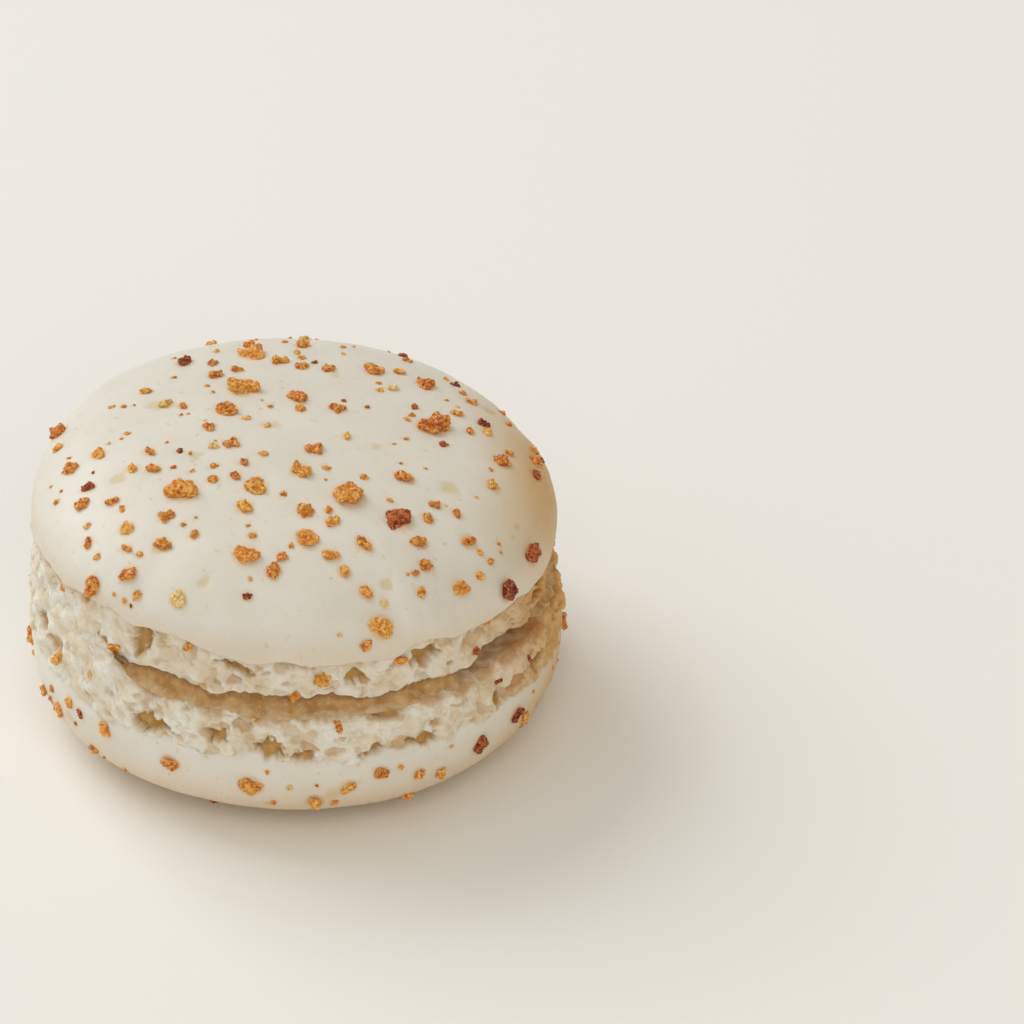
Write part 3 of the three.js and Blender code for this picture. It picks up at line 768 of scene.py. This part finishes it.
cream, azimuth, row = add_ball("caramel_buttercream", FILLING_SEGMENTS, sum(FILLING_ROWS.values()))
reach = FILLING["radius"] + CREAM_REACH - lobes_at(FILLING_LOBES, azimuth) + tear(azimuth, CREAM_RIPPLES, 201)
reach = reach - FOAM_BRIDGE["cream"] * bridge_at(azimuth + FOAM_BRIDGE["soft"] / 4)
points = np.zeros((len(row), 3))
shade_under_hem = np.zeros(len(row))
torn = np.zeros(len(row))
profile = np.array(FILLING_EDGE)
for name, inside, along in stretches(FILLING_ROWS, row):
    turn = azimuth[inside]
    if name == "edge":
        stops = np.linspace(0, 1, len(profile))
        thick = np.interp(along, stops, profile[:, 0])
        radius = reach[inside] - FILLING["slope"] * np.interp(along, stops, profile[:, 1])
        height = rise_between(cream_bottom(turn, radius), cream_top(turn, radius), thick)
        # Painted shade: the top of the edge, under the upper shell's hem, is marked for a darker colour.
        shade_under_hem[inside] = smooth(thick, *SHADE_UNDER_HEM)
        torn[inside] = 1 - smooth(thick, *TORN)
    elif name == "top":
        radius = (reach[inside] - profile[0, 1] * FILLING["slope"]) * along
        height = cream_top(turn, radius)
    else:
        radius = reach[inside] * (1 - along)
        height = cream_bottom(turn, radius) - 0.1
    points[inside] = at(turn, radius, height)
outer = smooth(np.hypot(points[:, 0], points[:, 1]), *CREAM_OUTER)
outward = at(azimuth, 1, 0)
points += outward * (outer * layered(points, CREAM_LUMPS, 211))[:, None]
slide(cream, points, {"shade_under_hem": shade_under_hem, "torn": torn})
print("buttercream:", len(cream.data.polygons), "faces")

# %% [markdown]
# A crumb is a clump of sugar grains. A few are modelled at a length of one, each from a ball that
# is flattened, pushed out of shape by a cloud pattern and then broken into grains by a cell
# pattern. Large crumbs have more faces and, for their size, finer grains than small ones.

# %% Model a few crumbs
CRUMB_SHAPES = {"large": {"least": 1.85, "detail": 5, "grain": 0.10, "count": 7},
                "medium": {"least": 0.9, "detail": 4, "grain": 0.19, "count": 8},
                "small": {"least": 0.0, "detail": 3, "grain": 0.36, "count": 8}}
CRUMB_WIDTH = (0.55, 0.9)
CRUMB_HEIGHT = (0.3, 0.46)
CLUMP = {"scale": 0.5, "strength": 0.8}
GRAIN_DEPTH = 0.7


def pattern(name, kind, scale):
    texture = bpy.data.textures.new(name, kind)
    texture.noise_scale = scale
    return texture


def push(piece, texture, strength):
    """Displaces a piece by a pattern that lies in space, so each place gets its own shape."""
    modifier = piece.modifiers.new("Push", "DISPLACE")
    modifier.texture = texture
    modifier.texture_coords = "GLOBAL"
    modifier.strength = strength
    bpy.ops.object.modifier_apply(modifier=modifier.name)


def model_crumb(kind, number, line):
    shape = CRUMB_SHAPES[kind]
    bpy.ops.object.select_all(action="DESELECT")
    bpy.ops.mesh.primitive_ico_sphere_add(subdivisions=shape["detail"], radius=0.5,
                                          location=(3 * number, 3 * line, 0))
    crumb = bpy.context.object
    bpy.ops.object.mode_set(mode="EDIT")
    bpy.ops.mesh.select_all(action="SELECT")
    width = rise_between(*CRUMB_WIDTH, draw(number, 31 + line))
    height = rise_between(*CRUMB_HEIGHT, draw(number, 35 + line))
    bpy.ops.transform.resize(value=(1, width, height))
    bpy.ops.object.mode_set(mode="OBJECT")
    push(crumb, pattern("clump", "CLOUDS", CLUMP["scale"]), CLUMP["strength"])
    push(crumb, pattern("grains", "VORONOI", shape["grain"]), -GRAIN_DEPTH * shape["grain"])
    points = read_points(crumb)
    points -= (points.max(axis=0) + points.min(axis=0)) / 2
    points /= np.ptp(points[:, 0])
    crumb.data.vertices.foreach_set("co", points.ravel())
    crumb.location = (0, 0, 0)
    return crumb


models = {kind: [model_crumb(kind, number, line) for number in range(shape["count"])]
          for line, (kind, shape) in enumerate(CRUMB_SHAPES.items())}
print("crumb models:", {kind: len(made) for kind, made in models.items()})

# %% [markdown]
# Each crumb is a copy of one of those models, with a mesh of its own, turned and sized by its
# place in the list. It is set on the nearest point of the finished shell and sunk a little, so it
# rests on the foam as well as on the smooth skin. Crumbs of one tone are joined into one piece.

# %% Lay the crumbs
CRUMB_SINK = 0.06
UPPER_FOOT_CRUMBS = [(-130, 0.12, 1.4, "golden"), (-82, 0.5, 1.6, "golden"), (-64, 0.7, 1.5, "amber"),
                     (-88, 0.05, 1.1, "golden"), (-45, 0.3, 1.0, "dark"), (-41, 0.75, 0.9, "amber"),
                     (-150, 0.5, 0.9, "amber"), (-112, 0.85, 1.0, "golden"), (20, 0.4, 1.3, "amber"),
                     (70, 0.6, 1.1, "golden"), (120, 0.3, 1.2, "amber"), (165, 0.7, 1.0, "golden")]
LOWER_FOOT_CRUMBS = [(-152, 0.4, 1.6, "golden"), (-178, 0.5, 1.0, "amber"), (-79, 0.8, 1.5, "amber"),
                     (-39, 0.65, 0.8, "dark"), (-97, 0.9, 0.7, "golden"), (-165, 0.3, 0.7, "pale"),
                     (-28, 0.6, 1.1, "dark"), (-138, 0.75, 0.6, "golden"), (15, 0.5, 1.4, "dark"),
                     (55, 0.4, 1.1, "amber"), (95, 0.7, 1.3, "golden"), (140, 0.5, 1.2, "amber")]


def shape_for(size):
    return next(kind for kind, shape in CRUMB_SHAPES.items() if size >= shape["least"])


def lay_crumb(shell, point, size, index):
    """One crumb on the nearest point of a finished shell, with its up side away from it."""
    found, spot, normal, face = shell.closest_point_on_mesh(Vector(point) * MM)
    kind = shape_for(size)
    model = models[kind][int(draw(index, 7) * len(models[kind]))]
    crumb = model.copy()
    crumb.data = model.data.copy()
    bpy.context.collection.objects.link(crumb)
    turn = normal.to_track_quat("Z", "Y").to_matrix().to_4x4()
    spin = Matrix.Rotation(2 * math.pi * draw(index, 6), 4, "Z")
    move = Matrix.Translation(spot + normal * (CRUMB_SINK * size * MM))
    crumb.data.transform(move @ turn @ spin @ Matrix.Scale(size * MM, 4))
    toast = crumb.data.attributes.new("toast", "FLOAT", "POINT")
    toast.data.foreach_set("value", np.full(len(crumb.data.vertices), draw(index, 8), np.float32))
    return crumb


def upper_foot_place(azimuth, share):
    return upper_place(at(azimuth, UPPER["foot_radius"], (share - 1) * UPPER["foot"]))


def lower_foot_place(azimuth, share):
    radius = LOWER["foot_radius"]
    return at(azimuth, radius, lower_plane(azimuth, radius) + share * LOWER["foot"])


places = [(upper, upper_place(spot), size, tone) for azimuth, share, size, tone, spot in upper_crumbs]
places += [(lower, spot, size, tone) for azimuth, share, size, tone, spot in lower_crumbs]
places += [(upper, upper_foot_place(azimuth, share), size, tone)
           for azimuth, share, size, tone in UPPER_FOOT_CRUMBS]
places += [(lower, lower_foot_place(azimuth, share), size, tone)
           for azimuth, share, size, tone in LOWER_FOOT_CRUMBS]
laid = {tone: [] for tone in TONES}
bpy.context.view_layer.update()
for index, (shell, spot, size, tone) in enumerate(places):
    laid[tone].append(lay_crumb(shell, spot, size, index))

crumbs = {}
for tone, pieces in laid.items():
    bpy.ops.object.select_all(action="DESELECT")
    for piece in pieces:
        piece.select_set(True)
    bpy.context.view_layer.objects.active = pieces[0]
    bpy.ops.object.join()
    crumbs[tone] = bpy.context.object
    crumbs[tone].name = "crumbs_" + tone
    crumbs[tone].data.name = "crumbs_" + tone
for model in [one for made in models.values() for one in made]:
    bpy.data.objects.remove(model)
print("crumb faces:", {tone: len(piece.data.polygons) for tone, piece in crumbs.items()})

# %% [markdown]
# Materials come next. Colours are written as on a screen and turned to linear light by one
# function, and one more adds a node with its settings and links. A pattern's scale is one over
# the size of its lumps, because the nodes measure in metres. All materials end in the same way:
# fine relief as a bump, and a shader that lets light a little way in.

# %% Prepare the materials
COLOURS = {"out": "Result", "data_type": "RGBA"}


def linear(code):
    """The linear colour of a hex code such as #e8e2d6."""
    parts = [int(code[i:i + 2], 16) / 255 for i in (1, 3, 5)]
    return [c / 12.92 if c <= 0.04045 else ((c + 0.055) / 1.055) ** 2.4 for c in parts] + [1]


def per_metre(size):
    return 1 / (size * MM)


def socket(sockets, name):
    """The socket of that name that the node's settings leave in use."""
    return next(one for one in sockets if one.name == name and one.enabled)


def add(tree, kind, out=0, links=None, **settings):
    """Adds a node, sets or links its inputs, and gives back one of its outputs."""
    node = tree.nodes.new("ShaderNode" + kind)
    for name, value in settings.items():
        setattr(node, name, value)
    for name, value in (links or {}).items():
        slot = socket(node.inputs, name) if isinstance(name, str) else node.inputs[name]
        if isinstance(value, bpy.types.NodeSocket):
            tree.links.new(value, slot)
        else:
            slot.default_value = linear(value) if isinstance(value, str) else value
    if isinstance(out, str):
        return socket(node.outputs, out)
    return node.outputs[out] if node.outputs else None


def new_material(name):
    material = bpy.data.materials.new(name)
    material.use_nodes = True
    material.node_tree.nodes.clear()
    return material, material.node_tree


def end_material(tree, colour, rough, relief, depth, inside, invert=False):
    """Ends a material: a bump, a shader that light enters a little, and the output."""
    bump = add(tree, "Bump", invert=invert,
               links={"Strength": 1.0, "Distance": depth * MM, "Height": relief})
    shader = add(tree, "BsdfPrincipled",
                 links={"Base Color": colour, "Roughness": rough, "Normal": bump, **inside})
    add(tree, "OutputMaterial", links={"Surface": shader})


def dress(piece, material):
    piece.data.materials.clear()
    piece.data.materials.append(material)


print("white as light:", [round(part, 2) for part in linear("#efede6")])

# %% [markdown]
# Baked almond meringue has two faces. The skin dried before it baked, so it is smooth like an
# eggshell, cream-white and faintly clouded, with halos and blotches where sugar melted. The foam
# of the foot is rougher, toasted to ochre in the open bubbles, where the sugar coloured, and white on
# its crests, with painted shade in ochre in the creases between them. Skin and foam both take the
# painted shade of the golden mask. Light goes a little way into both.

# %% Mix the meringue
MERINGUE_INSIDE = {"IOR": 1.45, "Subsurface Weight": 0.4, "Subsurface Radius": (1.0, 0.78, 0.5),
                   "Subsurface Scale": 0.6 * MM}


def make_meringue():
    material, tree = new_material("baked_almond_meringue")
    place = add(tree, "TexCoord", out="Object")
    foot, pit_and_crease_shade, halo, blotch, smear, golden = [
        add(tree, "Attribute", out="Fac", attribute_name=name)
        for name in ("foot", "pit_and_crease_shade", "halo", "blotch", "smear", "golden")]
    cloud, patch, freckle = [
        add(tree, "TexNoise", links={"Vector": place, "Scale": per_metre(size), "Detail": detail})
        for size, detail in ((5, 3.0), (1.8, 3.0), (0.7, 2.0))]
    skin = add(tree, "Mix", **COLOURS, links={"Factor": cloud, "A": "#efede6", "B": "#e2ddd1"})
    dots = add(tree, "MapRange", links={"Value": freckle, "From Min": 0.66, "From Max": 0.76, "To Max": 0.5})
    sunk = add(tree, "Math", operation="MULTIPLY", links={0: blotch, 1: 0.7})
    glow = add(tree, "Math", operation="MULTIPLY", links={0: halo, 1: 0.5})
    for amount, tint in ((dots, "#d3bd92"), (sunk, "#dccb9c"), (glow, "#eac07c")):
        skin = add(tree, "Mix", **COLOURS, links={"Factor": amount, "A": skin, "B": tint})
    worn = add(tree, "MapRange", links={"Value": patch, "From Min": 0.4, "From Max": 0.65})
    foam_colour = add(tree, "Mix", **COLOURS, links={"Factor": worn, "A": "#fbf7ed", "B": "#eddfc4"})
    cream_edge = add(tree, "MapRange", links={"Value": patch, "From Min": 0.3, "From Max": 0.6})
    cream_edge = add(tree, "Math", operation="MULTIPLY", links={0: cream_edge, 1: smear})
    # The pit mask tints pit floors and broken crust, and paints shade into the creases between the puffs.
    for amount, tint in ((pit_and_crease_shade, "#d0a461"), (cream_edge, "#cda67a")):
        foam_colour = add(tree, "Mix", **COLOURS, links={"Factor": amount, "A": foam_colour, "B": tint})
    colour = add(tree, "Mix", **COLOURS, links={"Factor": foot, "A": skin, "B": foam_colour})
    # Painted shade: the golden mask multiplies in a warm tan, on the right side, at the edge of the upper
    # skin and near the tray.
    colour = add(tree, "Mix", **COLOURS, blend_type="MULTIPLY",
                 links={"Factor": golden, "A": colour, "B": "#edc68b"})
    rough = add(tree, "MapRange", links={"Value": foot, "To Min": 0.42, "To Max": 0.75})
    fine = add(tree, "TexNoise",
               links={"Vector": place, "Scale": per_metre(0.32), "Detail": 4.0, "Roughness": 0.65})
    depth = add(tree, "MapRange", links={"Value": foot, "To Min": 0.08, "To Max": 1.0})
    height = add(tree, "Math", operation="MULTIPLY", links={0: fine, 1: depth})
    end_material(tree, colour, rough, height, 0.22, MERINGUE_INSIDE)
    return material


meringue = make_meringue()
dress(upper, meringue)
dress(lower, meringue)
print("meringue:", len(meringue.node_tree.nodes), "nodes")

# %% [markdown]
# Caramel buttercream is tan to light brown, and a little cloudy where the caramel isn't stirred in
# evenly. Up under the shell it is painted darker, as painted shade from the shell's hem. Where the
# shells pulled at it, its surface is short and grainy, with pale flecks of foam.

# %% Mix the buttercream
CREAM_INSIDE = {"IOR": 1.46, "Subsurface Weight": 0.25, "Subsurface Radius": (1.0, 0.6, 0.3),
                "Subsurface Scale": 0.5 * MM}


def make_cream():
    material, tree = new_material("caramel_buttercream")
    place = add(tree, "TexCoord", out="Object")
    cloud = add(tree, "TexNoise", links={"Vector": place, "Scale": per_metre(1.6), "Detail": 5.0})
    clear = add(tree, "MapRange", links={"Value": cloud, "From Min": 0.38, "From Max": 0.62})
    colour = add(tree, "Mix", **COLOURS, links={"Factor": clear, "A": "#dab077", "B": "#bc8b4f"})
    shade_under_hem = add(tree, "Attribute", out="Fac", attribute_name="shade_under_hem")
    torn = add(tree, "Attribute", out="Fac", attribute_name="torn")
    patch = add(tree, "TexNoise", links={"Vector": place, "Scale": per_metre(1.2), "Detail": 4.0})
    pulled = add(tree, "Math", operation="MULTIPLY_ADD", links={0: torn, 1: 0.22, 2: patch})
    pulled = add(tree, "MapRange", links={"Value": pulled, "From Min": 0.58, "From Max": 0.85})
    fleck = add(tree, "TexNoise", links={"Vector": place, "Scale": per_metre(0.45), "Detail": 2.0})
    fleck = add(tree, "MapRange", links={"Value": fleck, "From Min": 0.6, "From Max": 0.7, "To Max": 0.55})
    # The first tint is painted shade under the upper shell's hem.
    for amount, tint in ((shade_under_hem, "#a6733d"), (pulled, "#dcc199"), (fleck, "#dcc39c")):
        colour = add(tree, "Mix", **COLOURS, links={"Factor": amount, "A": colour, "B": tint})
    fine = add(tree, "TexNoise",
               links={"Vector": place, "Scale": per_metre(0.4), "Detail": 5.0, "Roughness": 0.65})
    end_material(tree, colour, 0.6, fine, 0.24, CREAM_INSIDE)
    return material


buttercream = make_cream()
dress(cream, buttercream)
print("buttercream:", len(buttercream.node_tree.nodes), "nodes")

# %% [markdown]
# The crumbs are toasted caramel: clumps of sugar grains about a fifth of a millimetre across,
# glassy where they broke. Each tone has a light and a dark end. Every grain lies somewhere between
# them, a crumb as a whole may be more or less toasted, and the broken faces glint.

# %% Mix the caramel crumbs
CRUMB_TONES = {"amber": ("#fcc268", "#e99439", "#b55e1e"), "golden": ("#fcca72", "#eba13a", "#c67628"),
               "pale": ("#f8e2a6", "#ecc878", "#d9a24e"), "dark": ("#d07432", "#9c421d", "#641f0f")}
CRUMB_INSIDE = {"IOR": 1.5, "Subsurface Weight": 0.2, "Subsurface Radius": (1.0, 0.5, 0.2),
                "Subsurface Scale": 0.4 * MM}
GRAIN = 0.22


def make_crumb(tone):
    light, middle, dark = CRUMB_TONES[tone]
    material, tree = new_material("toasted_caramel_" + tone)
    place = add(tree, "TexCoord", out="Object")
    toast = add(tree, "Attribute", out="Fac", attribute_name="toast")
    grain = add(tree, "TexVoronoi", out="Color", links={"Vector": place, "Scale": per_metre(GRAIN)})
    grain = add(tree, "SeparateColor", out="Red", links={"Color": grain})
    shift = add(tree, "MapRange", links={"Value": toast, "To Min": -0.22, "To Max": 0.22})
    burnt = add(tree, "Math", operation="ADD", links={0: grain, 1: shift})
    bright = add(tree, "MapRange", links={"Value": burnt, "From Min": 0.1, "From Max": 0.5})
    deep = add(tree, "MapRange", links={"Value": burnt, "From Min": 0.55, "From Max": 1.0})
    colour = light
    for amount, tint in ((bright, middle), (deep, dark)):
        colour = add(tree, "Mix", **COLOURS, links={"Factor": amount, "A": colour, "B": tint})
    between = add(tree, "TexVoronoi", out="Distance", links={"Vector": place, "Scale": per_metre(GRAIN)})
    rough = add(tree, "MapRange", links={"Value": grain, "To Min": 0.2, "To Max": 0.5})
    end_material(tree, colour, rough, between, 0.1, CRUMB_INSIDE, invert=True)
    return material


for tone, piece in crumbs.items():
    dress(piece, make_crumb(tone))
print("materials:", sorted(material.name for material in bpy.data.materials))

# %% [markdown]
# The macaron lies on a plain white table under soft studio light. The key light is a large panel
# high at the back left, so the crumbs throw short soft shadows towards the viewer's right. A second
# large panel high in front lights the feet. The room's walls are the world's colour: white,
# brighter on the left, and warm low on the right, which turns that side of the shells golden. The
# view is set to plain sRGB, so that a pale food stays pale.

# %% Light the table
KEY = {"place": (-0.70, 0.58, 0.84), "size": 0.84, "power": 6.85, "colour": "#fcfdff"}
FRONT = {"place": (0.2, -0.88, 0.82), "size": 0.84, "power": 3.35, "colour": "#fffbf2"}
WALLS = {"white": "#fffaee", "warm": "#f3dbad", "warm_from": 0.1, "warm_to": 0.6, "slope": -0.6,
         "strength": 0.44, "left": 0.66, "left_from": -0.2, "left_to": -0.9}
PANEL_AIM = Vector((0, 0, 12)) * MM
TABLE = 4.0


def add_panel(name, panel):
    bpy.ops.object.light_add(type="AREA", location=panel["place"])
    lamp = bpy.context.object
    lamp.name = name
    lamp.data.size = panel["size"]
    lamp.data.energy = panel["power"]
    lamp.data.color = linear(panel["colour"])[:3]
    lamp.rotation_euler = (PANEL_AIM - lamp.location).to_track_quat("-Z", "Y").to_euler()


def make_walls():
    """A white room with one warm side, which the camera itself sees as plain white."""
    world = bpy.data.worlds.new("studio_walls")
    world.use_nodes = True
    tree = world.node_tree
    tree.nodes.clear()
    way = add(tree, "TexCoord", out="Generated")
    rightward = add(tree, "SeparateXYZ", out="X", links={"Vector": way})
    upward = add(tree, "SeparateXYZ", out="Z", links={"Vector": way})
    low_right = add(tree, "Math", operation="MULTIPLY_ADD",
                    links={0: upward, 1: WALLS["slope"], 2: rightward})
    warm = add(tree, "MapRange", links={"Value": low_right, "From Min": WALLS["warm_from"],
                                        "From Max": WALLS["warm_to"]})
    colour = add(tree, "Mix", **COLOURS, links={"Factor": warm, "A": WALLS["white"], "B": WALLS["warm"]})
    strength = add(tree, "MapRange", links={
        "Value": rightward, "From Min": WALLS["left_to"], "From Max": WALLS["left_from"],
        "To Min": WALLS["left"], "To Max": WALLS["strength"]})
    lit = add(tree, "Background", links={"Color": colour, "Strength": strength})
    seen = add(tree, "Background", links={"Color": "#fbfbfa", "Strength": 1.0})
    camera_ray = add(tree, "LightPath", out="Is Camera Ray")
    both = add(tree, "MixShader", links={0: camera_ray, 1: lit, 2: seen})
    add(tree, "OutputWorld", links={"Surface": both})
    return world


add_panel("key_panel", KEY)
add_panel("front_panel", FRONT)
bpy.context.scene.world = make_walls()
bpy.context.scene.view_settings.view_transform = "Standard"
print("light: two panels and", bpy.context.scene.world.name)

bpy.ops.object.select_all(action="DESELECT")
bpy.ops.mesh.primitive_plane_add(size=TABLE)
table = bpy.context.object
table.name = "table"
material, tree = new_material("white_table")
shader = add(tree, "BsdfPrincipled", links={"Base Color": "#fbfbfa", "Roughness": 0.6})
add(tree, "OutputMaterial", links={"Surface": shader})
dress(table, material)

# %% [markdown]
# Every piece rides on the macaron's one body, and the solids that it stands for are hidden.

# %% Hand over the pieces
for piece, node, slot in ((upper, "shell_top", "meringue"), (lower, "shell_bottom", "meringue"),
                          (cream, "filling", "buttercream")):
    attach(piece, "root")
    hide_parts(node)
for piece in crumbs.values():
    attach(piece, "root")
    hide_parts("shell_top", "shell_bottom")
